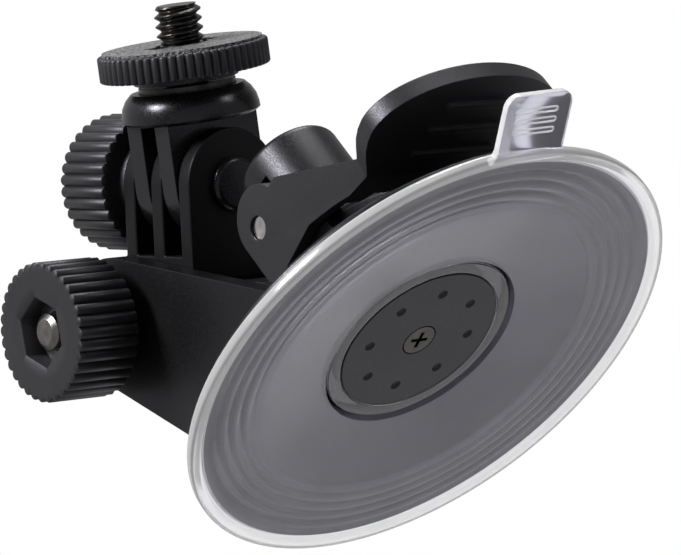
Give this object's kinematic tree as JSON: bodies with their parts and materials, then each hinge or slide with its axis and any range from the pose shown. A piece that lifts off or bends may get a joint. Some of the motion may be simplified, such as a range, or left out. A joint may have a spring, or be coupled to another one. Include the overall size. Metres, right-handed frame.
{
  "type": "suction camera mount",
  "caption": "Lever-locked suction mount with a forked arm, tilting prong block, ribbed clamp knobs and a folding adapter with a thumb-wheel tripod screw.",
  "frame": {"origin": "centre of the suction rim, on the sealing plane", "axes": "+Z away from the surface the cup sticks to, X along the lever pin and the main clamp bolt with the lower knob on -X, -Y towards the lever paddle and pull tab, +Y towards the forked arm"},
  "size_m": [0.0696, 0.0843, 0.07],
  "materials": {
    "clear_pvc": "clear soft vinyl, glossy",
    "moulded_black": "moulded, fine grain",
    "grained_black": "grained",
    "satin_black": "satin",
    "grip_pad": "fine grip grain",
    "plated_steel": "bright plated",
    "blackened_steel": "blackened"
  },
  "bodies": {
    "base": {"membrane": "clear_pvc", "housing": "moulded_black", "cam_plate": "plated_steel", "lower_bolt": "plated_steel", "lower_washer": "plated_steel"},
    "plunger": {"centre_boss": "clear_pvc", "plunger_plate": "moulded_black", "plunger_stem": "moulded_black", "plunger_screw": "plated_steel", "return_spring": "plated_steel", "lever_pin": "plated_steel"},
    "lever": {"lever": "moulded_black"},
    "block": {"finger_block": "moulded_black", "upper_bolt": "blackened_steel", "upper_washer": "blackened_steel"},
    "lower_knob": {"lower_knob": "grained_black", "lower_nut": "plated_steel"},
    "upper_knob": {"upper_knob": "grained_black", "upper_nut": "plated_steel"},
    "adapter": {"adapter": "satin_black", "retainer_ring": "blackened_steel"},
    "wheel": {"thumb_wheel": "grained_black", "wheel_pad": "grip_pad", "neck_washer": "satin_black", "tripod_screw": "blackened_steel"}
  },
  "joints": [
    {"name": "plunger_slide", "type": "slide", "parent": "base", "child": "plunger", "axis": [0, 0, 1], "range_m": [-0.003, 0], "deforming": ["return_spring"]},
    {"name": "lever_swing", "type": "hinge", "parent": "plunger", "child": "lever", "pos_m": [0, 0, 0.0254], "axis": [-1, 0, 0], "range_deg": [0, 78]},
    {"name": "block_tilt", "type": "hinge", "parent": "base", "child": "block", "pos_m": [0, 0.0326, 0.0415], "axis": [-1, 0, 0], "range_deg": [-4, 100]},
    {"name": "adapter_tilt", "type": "hinge", "parent": "block", "child": "adapter", "pos_m": [0, 0.01894, 0.05367], "axis": [0, -0.6652, -0.7466], "range_deg": [-75, 60]},
    {"name": "lower_knob_spin", "type": "hinge", "parent": "base", "child": "lower_knob", "pos_m": [0, 0.0326, 0.0415], "axis": [-1, 0, 0], "continuous": true},
    {"name": "upper_knob_spin", "type": "hinge", "parent": "block", "child": "upper_knob", "pos_m": [0, 0.01894, 0.05367], "axis": [0, 0.6652, 0.7466], "continuous": true},
    {"name": "screw_spin", "type": "hinge", "parent": "adapter", "child": "wheel", "pos_m": [0, 0.01488, 0.04912], "axis": [-0.108, -0.7423, 0.6613], "continuous": true}
  ],
  "couplings": [
    {"joint": "plunger_slide", "follows": "lever_swing", "m_per_rad": -0.0022037}
  ]
}
